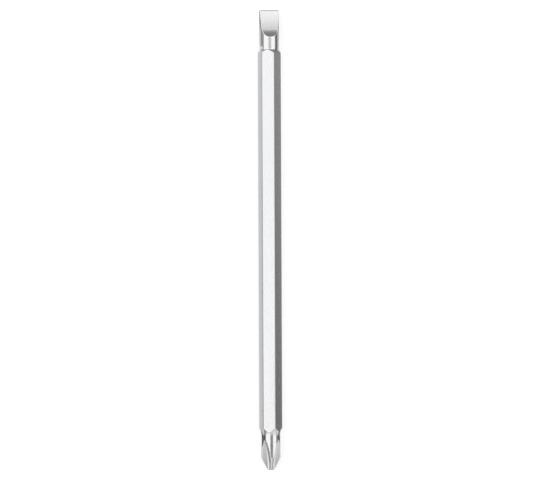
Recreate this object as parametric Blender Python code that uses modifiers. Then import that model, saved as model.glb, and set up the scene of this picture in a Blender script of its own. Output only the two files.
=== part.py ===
"""Reversible screwdriver blade: a hexagon steel bar with a flat tip at one end and a cross tip at the other.

The blade is made as it would be in a workshop. Hexagon bar is turned down at both ends, two slightly hollow
flats are ground on one end, and four flutes are plunged into the other with a V-edged grinding wheel.
Everything is built about an axis that runs from the nose of the cross tip, at height 0, up to the end of the
flat tip. An empty then lays that axis down along +X, with the bar resting on one of its flats.
"""

import math

import bmesh
import bpy

# Driving dimensions, in metres and degrees
BLADE_LENGTH = 0.1420
HEX_ACROSS_FLATS = 0.00635
HEX_EDGE_FLAT = 0.0003

FLAT_TIP_TURN = 15.0
FLAT_TIP_WIDTH = 0.0060
FLAT_TIP_THICKNESS = 0.0010
FLAT_TIP_TAPER = 8.7
FLAT_TIP_CORNER = 0.00025
FLAT_GRIND_RADIUS = 0.0600
FLAT_CUT_LENGTH = 0.0098
FLAT_RUNOUT_RADIUS = 0.0051
FLAT_NECK_LENGTH = 0.0121
FLAT_SHOULDER_ANGLE = 30.0
FLAT_SHOULDER_FILLET = 0.0006

CROSS_TIP_TURN = 17.0
WING_DIAMETER = 0.0061
WING_THICKNESS = 0.00078
WING_CORNER = 0.0002
CONE_ANGLE = 26.5
NOSE_DIAMETER = 0.0023
NOSE_HEIGHT = 0.0002
NOSE_CORNER = 0.0003
CROSS_NECK_DIAMETER = 0.0058
CROSS_FLARE_START = 0.0085
CROSS_FLARE_RADIUS = 0.0200
CROSS_NECK_LENGTH = 0.01143
CROSS_SHOULDER_ANGLE = 24.0
CROSS_SHOULDER_FILLET = 0.0044

FLUTES = 4
FLUTE_ANGLE = 92.0
FLUTE_ROOT_RADIUS = 0.0008
FLUTE_LOW_POINT = 0.0005
WHEEL_RADIUS = 0.0205

# How finely round shapes are divided, how far cutters run past the metal, and which edges stay crisp
TURNED_STEPS = 96
WHEEL_STEPS = 240
GRIND_STEPS = 12
ARC_STEP = 10.0
CUT_MARGIN = 0.0010
SHARP_ANGLE = 20.0

STEEL_COLOUR = (0.62, 0.62, 0.63, 1.0)
STEEL_ROUGHNESS = 0.34


def clear_scene():
    for obj in list(bpy.data.objects):
        bpy.data.objects.remove(obj, do_unlink=True)


def new_collection(name):
    collection = bpy.data.collections.new(name)
    bpy.context.scene.collection.children.link(collection)
    return collection


def add_object(name, data, collection, parent=None):
    obj = bpy.data.objects.new(name, data)
    collection.objects.link(obj)
    obj.parent = parent
    return obj


def hide_as_cutter(obj):
    obj.hide_render = True
    obj.display_type = "WIRE"
    return obj


def steel():
    material = bpy.data.materials.new("satin_steel")
    material.use_nodes = True
    shader = material.node_tree.nodes["Principled BSDF"]
    shader.inputs["Base Color"].default_value = STEEL_COLOUR
    shader.inputs["Roughness"].default_value = STEEL_ROUGHNESS
    shader.inputs["Metallic"].default_value = 1.0
    return material


def fillet(before, corner, after, radius):
    """Points of the arc that rounds a corner between two neighbours, within half of either side."""
    bx, by = before[0] - corner[0], before[1] - corner[1]
    ax, ay = after[0] - corner[0], after[1] - corner[1]
    back, ahead = math.hypot(bx, by), math.hypot(ax, ay)
    half = math.acos((bx * ax + by * ay) / (back * ahead)) / 2
    tangent = min(radius / math.tan(half), back / 2, ahead / 2)
    radius = tangent * math.tan(half)
    start = (corner[0] + bx / back * tangent, corner[1] + by / back * tangent)
    turn = math.copysign(math.pi - 2 * half, ax * by - ay * bx)
    centre_x = start[0] - math.copysign(radius, turn) * -by / back
    centre_y = start[1] - math.copysign(radius, turn) * bx / back
    steps = max(2, math.ceil(abs(math.degrees(turn)) / ARC_STEP))
    points = []
    for step in range(steps + 1):
        angle = turn * step / steps
        dx, dy = start[0] - centre_x, start[1] - centre_y
        x = centre_x + dx * math.cos(angle) - dy * math.sin(angle)
        y = centre_y + dx * math.sin(angle) + dy * math.cos(angle)
        points.append((x, y))
    return points


def rounded(corners, closed=False):
    """An outline from corners given as (x, y, radius), each rounded by its radius unless that is zero."""
    count = len(corners)
    points = []
    for index, (x, y, radius) in enumerate(corners):
        at_end = index in (0, count - 1) and not closed
        if radius and not at_end:
            before, after = corners[index - 1], corners[(index + 1) % count]
            points += fillet(before, (x, y), after, radius)
        else:
            points.append((x, y))
    return points


def turned(name, corners, steps, collection, parent):
    """A solid turned about local Z from a profile of (radius, height, corner radius), top to bottom."""
    points = [(radius, 0.0, height) for radius, height in rounded(corners)]
    mesh = bpy.data.meshes.new(name)
    mesh.from_pydata(points, [(i, i + 1) for i in range(len(points) - 1)], [])
    obj = add_object(name, mesh, collection, parent)
    screw = obj.modifiers.new("revolve", "SCREW")
    screw.axis = "Z"
    screw.steps = steps
    screw.render_steps = steps
    screw.use_merge_vertices = True
    screw.merge_threshold = 1e-6
    return obj


def extruded(name, corners, half_width, collection, parent):
    """A closed mesh from a flat outline of (x, y, corner radius), extruded both ways along local Z."""
    curve = bpy.data.curves.new(name, "CURVE")
    curve.dimensions = "2D"
    curve.fill_mode = "BOTH"
    curve.extrude = half_width
    points = rounded(corners, closed=True)
    spline = curve.splines.new("POLY")
    spline.points.add(len(points) - 1)
    for point, (x, y) in zip(spline.points, points):
        point.co = (x, y, 0.0, 1.0)
    spline.use_cyclic_u = True
    drawn = add_object(name + "_outline", curve, collection)
    graph = bpy.context.evaluated_depsgraph_get()
    mesh = bpy.data.meshes.new_from_object(drawn.evaluated_get(graph))
    bpy.data.objects.remove(drawn, do_unlink=True)
    welded = bmesh.new()
    welded.from_mesh(mesh)
    bmesh.ops.remove_doubles(welded, verts=welded.verts, dist=1e-6)
    bmesh.ops.recalc_face_normals(welded, faces=welded.faces)
    welded.to_mesh(mesh)
    welded.free()
    return add_object(name, mesh, collection, parent)


def hexagon_bar(collection, parent):
    """Drawn hexagon bar, longer than the blade, with a narrow flat on each of its six long edges."""
    mesh = bpy.data.meshes.new("double_ended_blade")
    corner_radius = HEX_ACROSS_FLATS / math.sqrt(3)
    bar = bmesh.new()
    bmesh.ops.create_cone(
        bar,
        cap_ends=True,
        segments=6,
        radius1=corner_radius,
        radius2=corner_radius,
        depth=BLADE_LENGTH + 2 * CUT_MARGIN,
    )
    bmesh.ops.translate(bar, verts=bar.verts, vec=(0.0, 0.0, BLADE_LENGTH / 2))
    bar.to_mesh(mesh)
    bar.free()
    obj = add_object("double_ended_blade", mesh, collection, parent)
    bevel = obj.modifiers.new("drawn_edges", "BEVEL")
    bevel.width = HEX_EDGE_FLAT / math.sqrt(3)
    bevel.offset_type = "OFFSET"
    bevel.segments = 1
    bevel.limit_method = "ANGLE"
    bevel.angle_limit = math.radians(45)
    return obj


def turned_ends(collection, parent):
    """The space in which the lathe leaves metal: both necks, their shoulders, and the cross tip's cone."""
    flat_radius = FLAT_TIP_WIDTH / 2
    neck_radius = CROSS_NECK_DIAMETER / 2
    wing_radius = WING_DIAMETER / 2
    nose_radius = NOSE_DIAMETER / 2
    clear_radius = HEX_ACROSS_FLATS / math.sqrt(3) + CUT_MARGIN
    flat_slope = math.tan(math.radians(FLAT_SHOULDER_ANGLE))
    cross_slope = math.tan(math.radians(CROSS_SHOULDER_ANGLE))
    flat_shoulder = BLADE_LENGTH - FLAT_NECK_LENGTH
    cone_top = NOSE_HEIGHT + (wing_radius - nose_radius) / math.tan(math.radians(CONE_ANGLE))
    profile = [
        (0.0, BLADE_LENGTH, 0.0),
        (flat_radius, BLADE_LENGTH, FLAT_TIP_CORNER),
        (flat_radius, flat_shoulder, FLAT_SHOULDER_FILLET),
        (clear_radius, flat_shoulder - (clear_radius - flat_radius) / flat_slope, 0.0),
        (clear_radius, CROSS_NECK_LENGTH + (clear_radius - neck_radius) / cross_slope, 0.0),
        (neck_radius, CROSS_NECK_LENGTH, CROSS_SHOULDER_FILLET),
        (neck_radius, CROSS_FLARE_START, CROSS_FLARE_RADIUS),
        (wing_radius, cone_top, WING_CORNER),
        (nose_radius, NOSE_HEIGHT, NOSE_CORNER),
        (0.0, 0.0, 0.0),
    ]
    return hide_as_cutter(turned("turned_ends", profile, TURNED_STEPS, collection, parent))


def grind_arc(offset, from_end, radius, first, last):
    """Corners along an arc about a point beside the blade, at angles from straight towards the axis."""
    corners = []
    for step in range(GRIND_STEPS + 1):
        angle = first + (last - first) * step / GRIND_STEPS
        height = BLADE_LENGTH - from_end - radius * math.sin(angle)
        corners.append((offset - radius * math.cos(angle), height, 0.0))
    return corners


def grind_outline():
    """One cut of the flat tip from the side: hollow from the end, then on a tighter arc into the neck.

    The arcs touch where both slope by the angle "meeting", which is never less than the taper at the end.
    """
    taper = math.radians(FLAT_TIP_TAPER)
    runout_radius = min(FLAT_RUNOUT_RADIUS, FLAT_GRIND_RADIUS / 2)
    apart = FLAT_GRIND_RADIUS - runout_radius
    hollow_place = -FLAT_GRIND_RADIUS * math.sin(taper)
    hollow_offset = FLAT_TIP_THICKNESS / 2 + FLAT_GRIND_RADIUS * math.cos(taper)
    steepness = (FLAT_CUT_LENGTH - runout_radius - hollow_place) / apart
    meeting = math.asin(min(max(steepness, math.sin(taper)), 0.9))
    runout_place = hollow_place + apart * math.sin(meeting)
    runout_offset = hollow_offset - apart * math.cos(meeting)
    before_end = math.asin((-CUT_MARGIN - hollow_place) / FLAT_GRIND_RADIUS)
    hollow = grind_arc(hollow_offset, hollow_place, FLAT_GRIND_RADIUS, before_end, meeting)
    runout = grind_arc(runout_offset, runout_place, runout_radius, meeting, math.pi / 2)
    far = runout_offset + FLAT_TIP_WIDTH
    outer = [(far, BLADE_LENGTH - runout_place - runout_radius, 0.0), (far, BLADE_LENGTH + CUT_MARGIN, 0.0)]
    return hollow + runout[1:] + outer


def flat_grinds(collection, parent):
    """The two tapered cuts that leave the flat tip."""
    outline = grind_outline()
    cutters = []
    for side in range(2):
        half_width = FLAT_TIP_WIDTH / 2 + CUT_MARGIN
        cutter = extruded(f"flat_grind_{side + 1}", outline, half_width, collection, parent)
        cutter.rotation_euler = (math.pi / 2, 0.0, math.radians(FLAT_TIP_TURN) + side * math.pi)
        cutters.append(hide_as_cutter(cutter))
    return cutters


def flute_wheels(collection, parent):
    """The V-edged wheel at the bottom of its plunge, once for each flute."""
    half_angle = math.radians(FLUTE_ANGLE / 2)
    half_width = WING_DIAMETER / 2 + CUT_MARGIN
    shoulder = WHEEL_RADIUS - half_width / math.tan(half_angle)
    profile = [
        (0.0, half_width, 0.0),
        (shoulder, half_width, 0.0),
        (WHEEL_RADIUS, 0.0, FLUTE_ROOT_RADIUS),
        (shoulder, -half_width, 0.0),
        (0.0, -half_width, 0.0),
    ]
    pitch = 2 * math.pi / FLUTES
    reach = WING_THICKNESS / 2 / math.sin(pitch / 2) + WHEEL_RADIUS
    wheels = []
    for index in range(FLUTES):
        angle = math.radians(CROSS_TIP_TURN) + (index + 0.5) * pitch
        wheel = turned(f"flute_wheel_{index + 1}", profile, WHEEL_STEPS, collection, parent)
        wheel.location = (reach * math.cos(angle), reach * math.sin(angle), FLUTE_LOW_POINT)
        wheel.rotation_euler = (math.pi / 2, 0.0, angle)
        wheels.append(hide_as_cutter(wheel))
    return wheels


def machine(blade, operation, cutter):
    cut = blade.modifiers.new(cutter.name, "BOOLEAN")
    cut.operation = operation
    cut.object = cutter
    cut.solver = "EXACT"


def finish_surface(blade):
    """Applies the cuts, then shades the round surfaces smooth and keeps the ground edges crisp."""
    graph = bpy.context.evaluated_depsgraph_get()
    mesh = bpy.data.meshes.new_from_object(blade.evaluated_get(graph))
    blade.modifiers.clear()
    blade.data = mesh
    mesh.name = blade.name
    mesh.shade_smooth()
    mesh.set_sharp_from_angle(angle=math.radians(SHARP_ANGLE))
    mesh.materials.clear()
    mesh.materials.append(steel())


def main():
    clear_scene()
    parts = new_collection("double_ended_screwdriver_blade")
    cutters = new_collection("cutters")
    axis = add_object("blade_axis", None, parts)
    axis.location = (-BLADE_LENGTH / 2, 0.0, HEX_ACROSS_FLATS / 2)
    axis.rotation_euler = (0.0, math.pi / 2, 0.0)
    blade = hexagon_bar(parts, axis)
    machine(blade, "INTERSECT", turned_ends(cutters, axis))
    for cutter in flat_grinds(cutters, axis) + flute_wheels(cutters, axis):
        machine(blade, "DIFFERENCE", cutter)
    bpy.context.view_layer.update()
    finish_surface(blade)


main()
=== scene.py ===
"""Looks of the double-ended screwdriver blade.

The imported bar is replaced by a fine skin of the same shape, whose edges are slightly worn. Each point
of the skin is found along a ray from the blade's axis, where the nearest of the surfaces that cut the
bar is met: the hexagon, the turned ends, the two flat grinds and the four flutes. The point also keeps
which of them it lies on, so that one steel material can finish the blasted flats, the turned necks and
the ground tips each in their own way.
"""

import math

import bpy
import numpy as np
from mathutils import Matrix, Vector

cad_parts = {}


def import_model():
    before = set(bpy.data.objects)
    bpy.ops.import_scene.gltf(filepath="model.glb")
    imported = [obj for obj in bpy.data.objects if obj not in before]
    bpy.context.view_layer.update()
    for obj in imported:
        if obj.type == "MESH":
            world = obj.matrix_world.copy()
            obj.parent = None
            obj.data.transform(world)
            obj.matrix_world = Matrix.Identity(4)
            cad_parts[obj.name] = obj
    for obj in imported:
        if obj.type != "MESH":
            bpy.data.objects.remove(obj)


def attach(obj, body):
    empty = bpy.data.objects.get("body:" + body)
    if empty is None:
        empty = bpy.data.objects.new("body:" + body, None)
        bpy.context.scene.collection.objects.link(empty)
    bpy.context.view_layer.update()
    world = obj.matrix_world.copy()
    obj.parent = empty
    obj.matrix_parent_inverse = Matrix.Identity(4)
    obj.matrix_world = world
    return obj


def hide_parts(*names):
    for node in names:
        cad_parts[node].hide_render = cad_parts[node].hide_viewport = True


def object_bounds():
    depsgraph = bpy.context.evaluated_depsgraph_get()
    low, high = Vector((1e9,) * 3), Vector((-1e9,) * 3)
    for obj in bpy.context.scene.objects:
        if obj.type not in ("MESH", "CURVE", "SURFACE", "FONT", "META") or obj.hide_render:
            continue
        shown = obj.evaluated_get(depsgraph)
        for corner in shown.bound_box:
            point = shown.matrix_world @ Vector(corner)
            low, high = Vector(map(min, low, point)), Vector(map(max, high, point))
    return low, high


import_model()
cad_low, cad_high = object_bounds()

NODE = "double_ended_blade"
SLOT = "satin_steel"

# Sizes of the bar, in metres and degrees, as are all that follow
LENGTH = cad_high.x - cad_low.x
ACROSS_FLATS = cad_high.z - cad_low.z
HEX_EDGE_FLAT = 0.0003  # width of the narrow flat on each of the hexagon's edges

# Sizes of the flat tip
FLAT_TIP_TURN = 15.0  # about the axis, against the hexagon's flats
FLAT_TIP_WIDTH = 0.0060
FLAT_TIP_THICKNESS = 0.0010  # at its end
FLAT_TIP_TAPER = 8.7  # slope of each side at the end
FLAT_TIP_CORNER = 0.00025
FLAT_GRIND_RADIUS = 0.0600
FLAT_CUT_LENGTH = 0.0098  # from the end to where the grind has run out
FLAT_RUNOUT_RADIUS = 0.0051
FLAT_NECK_LENGTH = 0.0121  # from the end to the foot of the shoulder
FLAT_SHOULDER_ANGLE = 30.0
FLAT_SHOULDER_FILLET = 0.0006

# Sizes of the cross tip, whose lengths are measured from its nose
CROSS_TIP_TURN = 17.0  # about the axis, against the hexagon's flats
WING_DIAMETER = 0.0061
WING_THICKNESS = 0.00078
WING_CORNER = 0.0002
CONE_ANGLE = 26.5  # between the cone's side and the axis
NOSE_DIAMETER = 0.0023
NOSE_HEIGHT = 0.0002
NOSE_CORNER = 0.0003
CROSS_NECK_DIAMETER = 0.0058
CROSS_FLARE_START = 0.0085  # where the neck begins to widen towards the wings
CROSS_FLARE_RADIUS = 0.0200
CROSS_NECK_LENGTH = 0.01143
CROSS_SHOULDER_ANGLE = 24.0
CROSS_SHOULDER_FILLET = 0.0044

# Flutes of the cross tip, each cut by a wheel with a V-shaped rim
FLUTES = 4
FLUTE_ANGLE = 92.0
FLUTE_ROOT_RADIUS = 0.0008
FLUTE_LOW_POINT = 0.0005  # where the flute is deepest
WHEEL_RADIUS = 0.0205

# Wear of the edges
EDGE_WEAR = 0.00010
END_WEAR = 0.00022  # around the flat tip's end
HEX_EDGE_WEAR = 0.00002
HEX_EDGE_ROUND = 0.00014  # radius by which the hexagon's narrow edge flats are shaded
HEX_EDGE_SHARE = 0.3  # how much of an edge's polish they have

# Divisions of the skin
ARC_STEP = 4.0  # angle between two points of a fillet
COLUMNS = 176
TIP_ROW = 0.00010  # from row to row at the tips
HEX_ROW = 0.0060  # from row to row along the hexagon
NOSE_ROWS = 12
END_ROWS = 8
CAP_RINGS = 5  # from the end face's outline to its middle

# Search for the skin's points
OUTER_REACH = 0.0060  # a radius outside the whole blade
HALVINGS = 34
TOUCHING = 1e-13  # a distance this small counts as none
NORMAL_STEP = 2e-7  # a step to each side, by which slopes are measured
TINY = 1e-30  # keeps a division from zero

# Survey of the sections, from which the columns are laid out
SURVEY_ANGLES = 720
SURVEY_ROW = 0.00040
SURVEY_HALVINGS = 22
EVEN_WEIGHT = 0.2  # share of the columns that is spread evenly by angle
LENGTH_WEIGHT = 0.5  # share spread by the length of the outline
BEND_WEIGHT = 0.3  # share spread by how much the outline bends
COLUMN_EASE = 0.0012  # length along the blade over which the shares are eased

# The steel and its finishes
STEEL_COLOUR = (0.640, 0.642, 0.650)
GRAIN_SIZE = 0.00045  # of the blasted flats
GRAIN_SHADE = (0.86, 1.10)
MOTTLE_SIZE = 0.0060
MOTTLE_SHADE = (-0.03, 0.03)
RING_SIZE = 0.00012  # of the lathe's rings on the necks
STROKE_SIZE = 0.00016  # of the wheel's strokes on the tips
NOISE_ROUGHNESS = 0.55
BLASTED_ROUGHNESS = (0.20, 0.30)
TURNED_ROUGHNESS = (0.12, 0.20)
GROUND_ROUGHNESS = (0.22, 0.32)
EDGE_POLISH = 0.06  # how much smoother the worn edges are
EDGE_SHINE = 0.18  # how much brighter the worn edges are
BLASTED_SHINE = 0.06  # how much brighter the blasted flats are
RELIEF_HEIGHT = 0.000010  # of the lathe's rings
BLASTED_RELIEF = 4.0  # times that height
GROUND_RELIEF = 0.15  # times that height

# The photograph's view
FRAME_WIDTH = 0.1668  # what the picture's width shows at the blade
FRAME_SHIFT = 0.000085  # from the blade's middle to the picture's, towards the flat tip
FOCAL_LENGTH = 250.0  # in millimetres, as is the sensor's width
SENSOR_WIDTH = 36.0
VIEW_TILT = 7.5  # from straight above towards -Y
VIEW_ROLL = 0.23  # of the blade in the picture

# The floor and the sky
FLOOR_REACH = 4.0  # half the floor's width
FLOOR_RIM = 0.14
FLOOR_DROP = 0.00002  # from the blade down to the floor
FLOOR_LIFT = 0.72  # the floor's own glow under the blade
FLOOR_FADE = (0.12, 0.45)  # distances from the origin between which the glow grows to 1
FLOOR_WHITE = 1.05  # sum of the glow and the brightness of the paint
SKY_LEVEL = 0.44

# Soft lights: name, angles from straight above towards -Y, places along X, radiance
PANEL_DISTANCE = 0.60
POWER_PER_RADIANCE = 4.0  # watts for each square metre
PANELS = [
    ("left_panel", (-60.0, -2.0), (-0.03, 0.70), 0.82),
    ("left_cross_panel", (-60.0, 3.0), (-0.20, -0.03), 0.82),
    ("left_far_panel", (-50.0, 3.0), (-0.42, -0.20), 0.75),
    ("left_end_panel", (-50.0, 3.0), (-0.62, -0.42), 0.36),
    ("right_panel", (31.0, 79.0), (-0.03, 0.40), 0.80),
    ("right_flat_panel", (31.0, 60.0), (0.40, 0.95), 0.80),
    ("right_cross_panel", (36.0, 79.0), (-0.20, -0.03), 0.80),
    ("right_far_panel", (36.0, 79.0), (-0.70, -0.20), 0.55),
    ("gap_panel", (-2.0, 32.0), (-0.03, 0.17), 0.28),
    ("flat_tip_panel", (-2.0, 32.0), (0.17, 0.40), 0.93),
    ("flat_tip_far_panel", (-2.0, 32.0), (0.40, 0.45), 0.30),
    ("cross_tip_panel", (3.0, 36.0), (-0.55, -0.20), 0.28),
    ("cross_cone_panel", (3.0, 36.0), (-1.40, -0.55), 0.55),
]

# Places of the cards around the blade, which only mirrors show
CARD_HEIGHT = 0.0002
UPPER_HEIGHT = 0.0003  # of the cards that lie over others
NOSE_FAR = -0.100
NOSE_FRONT = -0.0722  # just before the nose
NOSE_SIDES = (0.004, -0.006)
WING_FRONT = -0.0740
WING_END = -0.0638  # where the wings run out
CROSS_NECK = -0.0605
FLAT_NECK = 0.0600
TIP_EDGE = 0.0658  # where the flat tip's left edge begins to darken
TIP_CORNER = 0.0680
TIP_FRONT = 0.0722  # just beyond the flat tip's end
LEFT_SIDE = (0.0114, 0.035, 0.060)  # near edge, bend and upright of the left card
LEFT_HEIGHTS = (0.046, 0.020)  # of its upright at the cross tip and at the flat tip
LEFT_END = 0.10
RIGHT_SIDE = (-0.0085, -0.035, -0.060)  # near edge, bend and upright of the right card
RIGHT_HEIGHT = 0.012
RIGHT_BREAK = 0.059  # where the flat tip's own right card begins
RIGHT_END = 0.12
UPRIGHT_START = -0.072  # where both uprights begin
SHOULDER_PLACES = (0.0586, 0.0601)  # ends of the upright card beside the flat tip's shoulder
SHOULDER_SIDE = 0.0070
SHOULDER_HEIGHTS = (0.0010, 0.0070)
OVER_PLACES = (-0.0675, -0.0605, -0.036)  # ends of the two cards over the cross tip
OVER_SIDES = (-0.003, -0.034)
OVER_HEIGHT = 0.06
END_SIDES = (0.012, -0.035)  # edges of the card beyond the flat tip
END_PLACE = 0.10  # where it meets an upright card
END_HEIGHT = 0.036
END_LEAN = 0.0001  # gives the upright card a length along the blade

# Cards on the floor beside the blade: name, places along X, places along Y, grey at both ends
STRIPS = [
    ("left_near_card", (CROSS_NECK, FLAT_NECK), (0.0070, LEFT_SIDE[0]), (0.85, 0.85)),
    ("left_wing_card", (WING_FRONT, WING_END), (0.0042, LEFT_SIDE[0]), (0.87, 0.87)),
    ("right_wing_card", (WING_FRONT, WING_END), (-0.0034, RIGHT_SIDE[0]), (0.76, 0.76)),
    ("cross_left_card", (WING_END, CROSS_NECK), (0.0062, LEFT_SIDE[0]), (0.17, 0.17)),
    ("cross_right_card", (WING_END, CROSS_NECK), (-0.0034, RIGHT_SIDE[0]), (0.22, 0.22)),
    ("tip_left_card", (FLAT_NECK, TIP_CORNER), (0.0032, 0.0066), (0.60, 0.22)),
    ("tip_edge_card", (TIP_EDGE, TIP_CORNER), (0.0066, LEFT_SIDE[0]), (0.80, 0.10)),
    ("tip_corner_card", (TIP_CORNER, TIP_FRONT), (0.0020, LEFT_SIDE[0]), (0.12, 0.0)),
    ("tip_right_card", (0.0585, 0.0725), (-0.0032, -0.0060), (0.85, 0.05)),
]


def fillet(before, corner, after, radius):
    """Points of the arc that rounds a corner, which takes no more than half of either side."""
    back = np.subtract(before, corner)
    ahead = np.subtract(after, corner)
    back_length = np.hypot(*back)
    ahead_length = np.hypot(*ahead)
    half = math.acos(back @ ahead / (back_length * ahead_length)) / 2
    tangent = min(radius / math.tan(half), back_length / 2, ahead_length / 2)
    radius = tangent * math.tan(half)
    middle = back / back_length + ahead / ahead_length
    centre = corner + middle / np.hypot(*middle) * radius / math.sin(half)
    start = corner + back / back_length * tangent - centre
    turn = math.copysign(math.pi - 2 * half, ahead[0] * back[1] - ahead[1] * back[0])
    angles = np.linspace(0.0, turn, max(3, math.ceil(abs(math.degrees(turn)) / ARC_STEP) + 1))
    x = centre[0] + start[0] * np.cos(angles) - start[1] * np.sin(angles)
    y = centre[1] + start[0] * np.sin(angles) + start[1] * np.cos(angles)
    return np.stack([x, y], axis=1)


def turned_profile():
    """The lathe's profile from the nose to the flat tip, as distances from the nose and radii."""
    flat_radius = FLAT_TIP_WIDTH / 2
    neck_radius = CROSS_NECK_DIAMETER / 2
    wing_radius = WING_DIAMETER / 2
    nose_radius = NOSE_DIAMETER / 2
    flat_slope = math.tan(math.radians(FLAT_SHOULDER_ANGLE))
    cross_slope = math.tan(math.radians(CROSS_SHOULDER_ANGLE))
    flat_shoulder = LENGTH - FLAT_NECK_LENGTH
    cone_top = NOSE_HEIGHT + (wing_radius - nose_radius) / math.tan(math.radians(CONE_ANGLE))
    corners = [
        (0.0, 0.0, 0.0),
        (NOSE_HEIGHT, nose_radius, NOSE_CORNER),
        (cone_top, wing_radius, WING_CORNER),
        (CROSS_FLARE_START, neck_radius, CROSS_FLARE_RADIUS),
        (CROSS_NECK_LENGTH, neck_radius, CROSS_SHOULDER_FILLET),
        (CROSS_NECK_LENGTH + (OUTER_REACH - neck_radius) / cross_slope, OUTER_REACH, 0.0),
        (flat_shoulder - (OUTER_REACH - flat_radius) / flat_slope, OUTER_REACH, 0.0),
        (flat_shoulder, flat_radius, FLAT_SHOULDER_FILLET),
        (LENGTH, flat_radius, FLAT_TIP_CORNER),
        (LENGTH, 0.0, 0.0),
    ]
    points = [np.array([corners[0][:2]])]
    for before, corner, after in zip(corners, corners[1:], corners[2:]):
        if corner[2]:
            points.append(fillet(before[:2], corner[:2], after[:2], corner[2]))
        else:
            points.append(np.array([corner[:2]]))
    return np.concatenate(points)


PROFILE = turned_profile()
PROFILE_SLOPE = np.gradient(PROFILE[:, 1], PROFILE[:, 0])


def smooth_max(distances, radius):
    """The largest of several signed distances, with the edges between them rounded by that radius."""
    over = np.maximum(distances + radius, 0.0)
    return np.minimum(distances.max(axis=0), -radius) + np.sqrt((over * over).sum(axis=0))


def hex_flats(radius, angle):
    """Signed distances from the six flats and from the narrow flats on the six edges between them."""
    edge_reach = ACROSS_FLATS / math.sqrt(3) - HEX_EDGE_FLAT / 2 * math.tan(math.radians(30))
    flats = [radius * np.cos(angle - math.radians(60 * k)) - ACROSS_FLATS / 2 for k in range(6)]
    edges = [radius * np.cos(angle - math.radians(60 * k + 30)) - edge_reach for k in range(6)]
    return np.stack(flats + edges)


def hexagon(radius, angle, shaded):
    """Distance from the hexagon, or from one with round edges, by which its narrow flats are shaded."""
    flats = hex_flats(radius, angle)
    return smooth_max(flats[:6], HEX_EDGE_ROUND) if shaded else smooth_max(flats, HEX_EDGE_WEAR)


def turned(along, radius):
    """Distance from the surface that the lathe leaves."""
    slope = np.interp(along, PROFILE[:, 0], PROFILE_SLOPE)
    return (radius - np.interp(along, PROFILE[:, 0], PROFILE[:, 1])) / np.hypot(1.0, slope)


def flat_grind(along, radius, angle, side):
    """A cut of the flat tip: hollow from the blade's end, then on a tighter arc out into the neck."""
    taper = math.radians(FLAT_TIP_TAPER)
    from_end = LENGTH - along
    offset = radius * np.cos(angle - math.radians(FLAT_TIP_TURN + 180 * side))
    hollow_place = -FLAT_GRIND_RADIUS * math.sin(taper)
    hollow_offset = FLAT_TIP_THICKNESS / 2 + FLAT_GRIND_RADIUS * math.cos(taper)
    runout_place = FLAT_CUT_LENGTH - FLAT_RUNOUT_RADIUS
    apart = FLAT_GRIND_RADIUS - FLAT_RUNOUT_RADIUS
    meeting = math.asin((runout_place - hollow_place) / apart)
    runout_offset = hollow_offset - apart * math.cos(meeting)
    hollow = FLAT_GRIND_RADIUS - np.hypot(from_end - hollow_place, offset - hollow_offset)
    runout = FLAT_RUNOUT_RADIUS - np.hypot(from_end - runout_place, offset - runout_offset)
    return np.where(from_end < hollow_place + FLAT_GRIND_RADIUS * math.sin(meeting), hollow, runout)


def flute(along, radius, angle, index):
    """How deep a point lies in the V-edged wheel that grinds one flute."""
    half_angle = math.radians(FLUTE_ANGLE / 2)
    pitch = 2 * math.pi / FLUTES
    turn = angle - math.radians(CROSS_TIP_TURN) - (index + 0.5) * pitch
    out = radius * np.cos(turn)
    across = np.abs(radius * np.sin(turn))
    reach = WING_THICKNESS / 2 / math.sin(pitch / 2) + WHEEL_RADIUS
    from_axle = np.hypot(out - reach, along - FLUTE_LOW_POINT)
    root = FLUTE_ROOT_RADIUS / math.sin(half_angle)
    rounded = root - np.sqrt(np.maximum(FLUTE_ROOT_RADIUS**2 - across**2, 0.0))
    in_root = across < FLUTE_ROOT_RADIUS * math.cos(half_angle)
    rim = np.where(in_root, rounded, across / math.tan(half_angle))
    return (WHEEL_RADIUS - rim - from_axle) * math.sin(half_angle)


def surfaces(along, radius, angle, shaded=False):
    """Signed distances from the hexagon, the turned ends, then the grinds and the flutes."""
    along, radius, angle = np.broadcast_arrays(along, radius, angle)
    found = [hexagon(radius, angle, shaded), turned(along, radius)]
    found += [flat_grind(along, radius, angle, side) for side in range(2)]
    found += [flute(along, radius, angle, index) for index in range(FLUTES)]
    return np.stack(found)


def body(along, radius, angle, shaded=False):
    """Distance from the whole blade with its worn edges, below zero inside it."""
    sides = smooth_max(surfaces(along, radius, angle, shaded), EDGE_WEAR)
    return smooth_max(np.stack([sides, along - LENGTH + 0.0 * sides]), END_WEAR)


def skin_radius(along, angle, halvings=HALVINGS):
    """The distance from the axis to the skin, by halving."""
    along, angle = np.broadcast_arrays(along, angle)
    inner = np.zeros(along.shape)
    outer = np.full(along.shape, OUTER_REACH)
    for _ in range(halvings):
        middle = (inner + outer) / 2
        outside = body(along, middle, angle) > TOUCHING
        outer = np.where(outside, middle, outer)
        inner = np.where(outside, inner, middle)
    return (inner + outer) / 2


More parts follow.
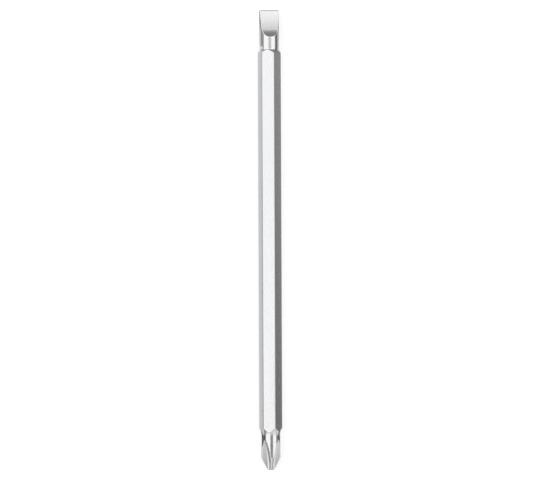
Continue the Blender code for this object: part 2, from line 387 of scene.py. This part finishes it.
def row_places():
    """Where the rows lie along the blade: close together at the tips, most of all at both ends."""
    corner = ACROSS_FLATS / math.sqrt(3)
    cross_slope = math.tan(math.radians(CROSS_SHOULDER_ANGLE))
    flat_slope = math.tan(math.radians(FLAT_SHOULDER_ANGLE))
    cross_end = CROSS_NECK_LENGTH + (corner - CROSS_NECK_DIAMETER / 2) / cross_slope + EDGE_WEAR
    flat_end = LENGTH - FLAT_NECK_LENGTH - (corner - FLAT_TIP_WIDTH / 2) / flat_slope - EDGE_WEAR
    nose_end = NOSE_HEIGHT + NOSE_CORNER / 2
    nose = nose_end * (np.arange(1, NOSE_ROWS) / NOSE_ROWS)
    cross = np.arange(nose_end, cross_end, TIP_ROW)
    bar = np.linspace(cross_end, flat_end, round((flat_end - cross_end) / HEX_ROW) + 1)
    flat = np.arange(flat_end + TIP_ROW, LENGTH - END_WEAR, TIP_ROW)
    turn = np.radians(np.linspace(0.0, 90.0, END_ROWS + 1))
    end = LENGTH - END_WEAR + END_WEAR * np.sin(turn)
    return np.concatenate([nose, cross, bar, flat, end])


def section_shares(places, survey):
    """For each place along the blade, the share of the columns that comes before each angle."""
    radius = skin_radius(places[:, None], survey[None, :], SURVEY_HALVINGS)
    step_x = np.diff(radius * np.cos(survey), axis=1)
    step_y = np.diff(radius * np.sin(survey), axis=1)
    length = np.hypot(step_x, step_y)
    heading = np.unwrap(np.arctan2(step_y, step_x), axis=1)
    bend = np.abs(np.diff(heading, axis=1, append=heading[:, :1] + 2 * math.pi))
    length /= np.maximum(length.sum(axis=1, keepdims=True), TINY)
    bend /= bend.sum(axis=1, keepdims=True)
    even = EVEN_WEIGHT / SURVEY_ANGLES
    share = np.cumsum(even + LENGTH_WEIGHT * length + BEND_WEIGHT * bend, axis=1)
    return np.concatenate([np.zeros((len(places), 1)), share], axis=1)


def column_angles(rows):
    """The angle of each column in each row, closer together where the section is long or turns sharply.

    The shares are eased along the blade, so that the columns don't lean much where the section changes.
    """
    survey = np.linspace(0.0, 2 * math.pi, SURVEY_ANGLES + 1)
    places = np.linspace(0.0, LENGTH - END_WEAR, round(LENGTH / SURVEY_ROW))
    share = section_shares(places, survey)
    apart = places[1] - places[0]
    reach = math.ceil(3 * COLUMN_EASE / apart)
    # A bell curve, cut off at three times its width
    weights = np.exp(-0.5 * (np.arange(-reach, reach + 1) * apart / COLUMN_EASE) ** 2)
    weights /= weights.sum()
    padded = np.pad(share, ((reach, reach), (0, 0)), mode="edge")
    eased = sum(w * padded[i : i + len(places)] for i, w in enumerate(weights))
    wanted = np.arange(COLUMNS) / COLUMNS
    at_places = np.array([np.interp(wanted, line, survey) for line in eased])
    return np.array([np.interp(rows, places, column) for column in at_places.T]).T


def to_frame(along, radius, angle):
    """Points in the part's frame, where the cross tip is at -X and the flat tip at +X."""
    x = cad_low.x + along
    y = radius * np.sin(angle)
    z = ACROSS_FLATS / 2 - radius * np.cos(angle)
    return np.stack(np.broadcast_arrays(x, y, z), axis=-1)


def shaded_distance(points):
    """Distance of points in the part's frame from the blade, with the hexagon's edges round."""
    along = points[:, 0] - cad_low.x
    across = points[:, 1]
    down = ACROSS_FLATS / 2 - points[:, 2]
    return body(along, np.hypot(down, across), np.arctan2(across, down), shaded=True)


def skin_normals(points):
    """The direction in which the blade's surfaces face at these points."""
    gradient = np.zeros_like(points)
    for axis, step in enumerate(NORMAL_STEP * np.eye(3)):
        gradient[:, axis] = shaded_distance(points + step) - shaded_distance(points - step)
    return gradient / np.maximum(np.linalg.norm(gradient, axis=1, keepdims=True), TINY)


def finish_shares(along, radius, angle):
    """How much of each point is turned, how much is ground, and how much is a worn edge."""
    found = np.maximum(surfaces(along, radius, angle) + EDGE_WEAR, 0.0) ** 2
    found /= np.maximum(found.sum(axis=0), TINY)
    flats = np.maximum(hex_flats(radius, angle) + HEX_EDGE_WEAR, 0.0) ** 2
    flats /= np.maximum(flats.sum(axis=0), TINY)
    # In the middle of a worn edge two surfaces share the point evenly
    edge = 2 * (1 - found.max(axis=0)) + HEX_EDGE_SHARE * found[0] * (1 - flats[:6].max(axis=0))
    edge += np.maximum(along - LENGTH + END_WEAR, 0.0) / END_WEAR
    return {"turned": found[1], "ground": found[2:].sum(axis=0), "edge": np.clip(edge, 0.0, 1.0)}


def skin_faces(rings):
    """Faces between the rings of points, and the fans from the two last points that close both ends."""
    around = np.arange(COLUMNS)
    after = (around + 1) % COLUMNS
    nose = np.full(COLUMNS, rings * COLUMNS)
    end = nose + 1
    last = (rings - 1) * COLUMNS
    faces = []
    for low in range(0, last, COLUMNS):
        high = low + COLUMNS
        faces += np.stack([low + around, low + after, high + after, high + around], axis=1).tolist()
    faces += np.stack([nose, after, around], axis=1).tolist()
    faces += np.stack([end, last + around, last + after], axis=1).tolist()
    return faces


def add_object(name, data):
    """A new object in the scene."""
    obj = bpy.data.objects.new(name, data)
    bpy.context.scene.collection.objects.link(obj)
    return obj


def set_place(obj, axes, origin):
    """Turns an object's own X, Y and Z to these directions, and puts it there."""
    place = Matrix(axes).transposed().to_4x4()
    place.translation = origin
    obj.matrix_world = place


def blade_skin():
    """The skin as one closed mesh: rings of points along the blade, and smaller ones in its end face."""
    rows = row_places()
    angles = column_angles(rows)
    along = np.repeat(rows[:, None], COLUMNS, axis=1)
    radius = skin_radius(along, angles)
    for ring in range(1, CAP_RINGS):
        along = np.concatenate([along, along[-1:]])
        angles = np.concatenate([angles, angles[-1:]])
        radius = np.concatenate([radius, radius[len(rows) - 1 : len(rows)] * (1 - ring / CAP_RINGS)])
    points = to_frame(along, radius, angles).reshape(-1, 3)
    normals = skin_normals(points)
    normals[len(rows) * COLUMNS :] = (1.0, 0.0, 0.0)
    points = np.concatenate([points, [to_frame(0.0, 0.0, 0.0), to_frame(LENGTH, 0.0, 0.0)]])
    normals = np.concatenate([normals, [(-1.0, 0.0, 0.0), (1.0, 0.0, 0.0)]])
    mesh = bpy.data.meshes.new("blade_skin")
    mesh.from_pydata(points.tolist(), [], skin_faces(len(along)))
    shares = finish_shares(along.ravel(), radius.ravel(), angles.ravel())
    for name, values in shares.items():
        values = np.concatenate([values, values[:1], values[-1:]])
        attribute = mesh.attributes.new(name, "FLOAT", "POINT")
        attribute.data.foreach_set("value", values.astype(np.float32))
    mesh.shade_smooth()
    mesh.normals_split_custom_set_from_vertices(normals.tolist())
    return add_object("blade_skin", mesh)


class Nodes:
    """Adds nodes to a tree, sets their sockets and links them."""

    def __init__(self, tree):
        self.tree = tree
        tree.nodes.clear()

    def add(self, kind, inputs=None, **settings):
        """A node of this kind, whose inputs are sockets to link or constants to set."""
        node = self.tree.nodes.new(kind)
        for name, value in settings.items():
            setattr(node, name, value)
        for name, value in (inputs or {}).items():
            if isinstance(value, bpy.types.NodeSocket):
                self.tree.links.new(value, node.inputs[name])
            else:
                node.inputs[name].default_value = value
        return node

    def math(self, operation, *values):
        """The result of one sum or comparison."""
        return self.add("ShaderNodeMath", dict(enumerate(values)), operation=operation).outputs[0]

    def blend(self, factor, low, high):
        """A value between low and high, as the factor goes from 0 to 1."""
        inputs = {"Factor": factor, "A": low, "B": high}
        return self.add("ShaderNodeMix", inputs, data_type="FLOAT").outputs[0]

    def ramp(self, value, low, high):
        """A value from 0 to 1, stretched to the range from low to high."""
        inputs = {"Value": value, "To Min": low, "To Max": high}
        return self.add("ShaderNodeMapRange", inputs).outputs[0]

    def attribute(self, name):
        """One of the skin's finish shares."""
        return self.add("ShaderNodeAttribute", attribute_name=name).outputs["Fac"]

    def noise(self, vector, size, detail, scale=(1.0, 1.0, 1.0)):
        """Noise whose grain is about that size, stretched along an axis where its scale is small."""
        inputs = {0: vector, 1: scale}
        stretched = self.add("ShaderNodeVectorMath", inputs, operation="MULTIPLY").outputs[0]
        inputs = {"Vector": stretched, "Scale": 1.0 / size}
        inputs |= {"Detail": detail, "Roughness": NOISE_ROUGHNESS}
        return self.add("ShaderNodeTexNoise", inputs).outputs["Fac"]


def new_material(name):
    """A new material, and its empty tree of nodes."""
    material = bpy.data.materials.new(name)
    material.use_nodes = True
    return material, Nodes(material.node_tree)


def steel():
    """Satin steel: blasted flats, finely turned necks, ground tips, and edges rubbed bright."""
    material, nodes = new_material(SLOT)
    place = nodes.add("ShaderNodeTexCoord").outputs["Object"]
    is_turned = nodes.attribute("turned")
    is_ground = nodes.attribute("ground")
    is_edge = nodes.attribute("edge")
    grain = nodes.noise(place, GRAIN_SIZE, detail=3.0)
    mottle = nodes.noise(place, MOTTLE_SIZE, detail=2.0, scale=(0.5, 1.0, 1.0))
    rings = nodes.noise(place, RING_SIZE, detail=1.0, scale=(1.0, 0.02, 0.02))
    strokes = nodes.noise(place, STROKE_SIZE, detail=2.0, scale=(1.0, 0.04, 0.04))

    def by_finish(blasted, turned, ground):
        """One value for each finish, blended where two finishes meet."""
        return nodes.blend(is_ground, nodes.blend(is_turned, blasted, turned), ground)

    blasted = nodes.ramp(grain, *BLASTED_ROUGHNESS)
    lathe = nodes.ramp(rings, *TURNED_ROUGHNESS)
    wheel = nodes.ramp(strokes, *GROUND_ROUGHNESS)
    rough = by_finish(blasted, lathe, wheel)
    rough = nodes.math("SUBTRACT", rough, nodes.math("MULTIPLY", is_edge, EDGE_POLISH))

    shade = nodes.math("ADD", nodes.ramp(grain, *GRAIN_SHADE), nodes.ramp(mottle, *MOTTLE_SHADE))
    shade = nodes.math("ADD", shade, nodes.math("MULTIPLY", is_edge, EDGE_SHINE))
    shade = nodes.math("ADD", shade, by_finish(BLASTED_SHINE, 0.0, 0.0))
    tint = nodes.add("ShaderNodeVectorMath", {0: STEEL_COLOUR, 3: shade}, operation="SCALE")

    deep = nodes.math("MULTIPLY", grain, BLASTED_RELIEF)
    fine = nodes.math("MULTIPLY", strokes, GROUND_RELIEF)
    inputs = {"Strength": 1.0, "Distance": RELIEF_HEIGHT, "Height": by_finish(deep, rings, fine)}
    bump = nodes.add("ShaderNodeBump", inputs)
    inputs = {"Base Color": tint.outputs[0], "Normal": bump.outputs[0]}
    inputs |= {"Metallic": 1.0, "Roughness": rough}
    shader = nodes.add("ShaderNodeBsdfPrincipled", inputs)
    nodes.add("ShaderNodeOutputMaterial", {"Surface": shader.outputs[0]})
    return material


def seen_ray(nodes):
    """1 for rays from the camera, a mirror or through glass, and 0 for rays that light the scene."""
    path = nodes.add("ShaderNodeLightPath").outputs
    mirrored = nodes.math("MAXIMUM", path["Is Glossy Ray"], path["Is Transmission Ray"])
    return nodes.math("MAXIMUM", path["Is Camera Ray"], mirrored)


def floor():
    """A pale floor under the blade, lifted to white where it is seen, which keeps the blade's shadow.

    Its low rim stands behind the blade in level views, where a horizon would show otherwise.
    """
    corners = [(-1, -1), (1, -1), (1, 1), (-1, 1)]
    points = [(x * FLOOR_REACH, y * FLOOR_REACH, z) for z in (0.0, FLOOR_RIM) for x, y in corners]
    rim = [(i, (i + 1) % 4, (i + 1) % 4 + 4, i + 4) for i in range(4)]
    mesh = bpy.data.meshes.new("floor")
    mesh.from_pydata(points, [], [(0, 1, 2, 3)] + rim)
    obj = add_object("floor", mesh)
    obj.location.z = cad_low.z - FLOOR_DROP
    material, nodes = new_material("pale_floor")
    place = nodes.add("ShaderNodeTexCoord").outputs["Object"]
    away = nodes.add("ShaderNodeVectorMath", {0: place}, operation="LENGTH").outputs["Value"]
    near, far = FLOOR_FADE
    inputs = {"Value": away, "From Min": near, "From Max": far, "To Min": FLOOR_LIFT, "To Max": 1.0}
    lift = nodes.add("ShaderNodeMapRange", inputs, interpolation_type="SMOOTHSTEP").outputs[0]
    paint = nodes.math("SUBTRACT", FLOOR_WHITE, lift)
    lit = nodes.add("ShaderNodeBsdfDiffuse", {"Color": paint}).outputs[0]
    seen = nodes.math("MULTIPLY", seen_ray(nodes), lift)
    glow = nodes.add("ShaderNodeEmission", {"Strength": seen}).outputs[0]
    both = nodes.add("ShaderNodeAddShader", {0: lit, 1: glow}).outputs[0]
    nodes.add("ShaderNodeOutputMaterial", {"Surface": both})
    mesh.materials.append(material)


def world():
    """An even grey sky."""
    made = bpy.data.worlds.new("studio")
    bpy.context.scene.world = made
    made.use_nodes = True
    nodes = Nodes(made.node_tree)
    sky = nodes.add("ShaderNodeBackground", {"Color": (1.0, 1.0, 1.0, 1.0), "Strength": SKY_LEVEL})
    nodes.add("ShaderNodeOutputWorld", {"Surface": sky.outputs[0]})


def panel(name, angles, reach, radiance):
    """A soft light that faces the blade, between two angles and two places along it."""
    start, end = reach
    light = bpy.data.lights.new(name, "AREA")
    light.shape = "RECTANGLE"
    light.size = end - start
    light.size_y = 2 * PANEL_DISTANCE * math.tan(math.radians(angles[1] - angles[0]) / 2)
    light.energy = radiance * POWER_PER_RADIANCE * light.size * light.size_y
    obj = add_object(name, light)
    turn = math.radians(angles[0] + angles[1]) / 2
    out = Vector((0.0, -math.sin(turn), math.cos(turn)))
    side = Vector((1.0, 0.0, 0.0))
    middle = Vector(((start + end) / 2, 0.0, ACROSS_FLATS / 2))
    set_place(obj, (side, out.cross(side), out), out * PANEL_DISTANCE + middle)
    obj.visible_camera = False


def card(name, first, last, greys):
    """A card between two lines of points, whose grey goes from one to the other along the blade."""
    points = first + last
    count = len(first)
    start = min(point[0] for point in points)
    end = max(point[0] for point in points)
    mesh = bpy.data.meshes.new(name)
    mesh.from_pydata(points, [], [(i, i + 1, count + i + 1, count + i) for i in range(count - 1)])
    obj = add_object(name, mesh)
    material, nodes = new_material(name)
    place = nodes.add("ShaderNodeTexCoord").outputs["Object"]
    along = nodes.add("ShaderNodeSeparateXYZ", {0: place}).outputs["X"]
    inputs = {"Value": along, "From Min": start, "From Max": end}
    inputs |= {"To Min": greys[0], "To Max": greys[1]}
    grey = nodes.add("ShaderNodeMapRange", inputs).outputs[0]
    glow = nodes.add("ShaderNodeEmission", {"Strength": grey}).outputs[0]
    nodes.add("ShaderNodeOutputMaterial", {"Surface": glow})
    mesh.materials.append(material)
    obj.visible_camera = False
    obj.visible_diffuse = False
    obj.visible_shadow = False
    obj.visible_transmission = False


def strip(name, reach, sides, greys, height=CARD_HEIGHT):
    """A card lying on the floor, or just over another card."""
    first, last = [[(x, y, height) for y in sides] for x in reach]
    card(name, first, last, greys)


def side_line(place, upright_place, side, height):
    """The points across a side card, out over the floor and up its upright."""
    near, bend, far = side
    low = [(place, near, CARD_HEIGHT), (place, bend, CARD_HEIGHT), (upright_place, far, CARD_HEIGHT)]
    return low + [(upright_place, far, height)]


def side_cards():
    """The wide cards to the left and right of the blade, which its sloping flats mirror."""
    cross = side_line(WING_END, UPRIGHT_START, LEFT_SIDE, LEFT_HEIGHTS[0])
    end = side_line(LEFT_END, LEFT_END, LEFT_SIDE, LEFT_HEIGHTS[1])
    card("left_card", cross, end, (0.13, 0.50))
    cross = side_line(WING_END, UPRIGHT_START, RIGHT_SIDE, RIGHT_HEIGHT)
    flat = side_line(RIGHT_BREAK, RIGHT_BREAK, RIGHT_SIDE, RIGHT_HEIGHT)
    end = side_line(RIGHT_END, RIGHT_END, RIGHT_SIDE, RIGHT_HEIGHT)
    card("right_card", cross, flat, (0.18, 0.33))
    card("right_tip_card", flat, end, (0.22, 0.22))


def shoulder_card():
    """The pale upright card beside the flat tip's shoulder, where the neck's dark stripe ends."""
    first, last = [[(x, SHOULDER_SIDE, z) for z in SHOULDER_HEIGHTS] for x in SHOULDER_PLACES]
    card("shoulder_card", first, last, (1.05, 1.05))


def over_cards():
    """The two cards above the cross tip, which its neck mirrors."""
    lines = [[(x, y, OVER_HEIGHT) for y in OVER_SIDES] for x in OVER_PLACES]
    card("over_tip_card", lines[0], lines[1], (0.62, 0.16))
    card("over_card", lines[1], lines[2], (0.16, 0.35))


def end_cards():
    """The card before the nose, the card beyond the flat tip, and the upright card behind that."""
    strip("nose_card", (NOSE_FAR, NOSE_FRONT), NOSE_SIDES, (0.10, 0.10), UPPER_HEIGHT)
    strip("end_card", (TIP_FRONT, END_PLACE), END_SIDES, (0.08, 0.25), UPPER_HEIGHT)
    foot = [(END_PLACE, y, CARD_HEIGHT) for y in END_SIDES]
    top = [(END_PLACE + END_LEAN, y, END_HEIGHT) for y in END_SIDES]
    card("end_upright", foot, top, (0.30, 0.30))


def studio():
    """Everything around the blade."""
    floor()
    world()
    for row in PANELS:
        panel(*row)
    side_cards()
    for row in STRIPS:
        strip(*row)
    shoulder_card()
    over_cards()
    end_cards()


def camera():
    """Looks almost straight down at the blade, flat tip at the top, as in the photograph."""
    data = bpy.data.cameras.new("camera")
    data.sensor_width = SENSOR_WIDTH
    data.lens = FOCAL_LENGTH
    obj = add_object("camera", data)
    tilt = math.radians(VIEW_TILT)
    roll = math.radians(VIEW_ROLL)
    back = Vector((0.0, -math.sin(tilt), math.cos(tilt)))
    level = Vector((1.0, 0.0, 0.0))
    up = level * math.cos(roll) + level.cross(back) * math.sin(roll)
    distance = FRAME_WIDTH * FOCAL_LENGTH / SENSOR_WIDTH
    middle = Vector((FRAME_SHIFT, 0.0, ACROSS_FLATS / 2))
    set_place(obj, (up.cross(back), up, back), back * distance + middle)
    bpy.context.scene.camera = obj


skin = blade_skin()
skin.data.materials.append(steel())
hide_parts(NODE)
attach(skin, "root")
studio()
camera()
bpy.context.scene.view_settings.view_transform = "Standard"
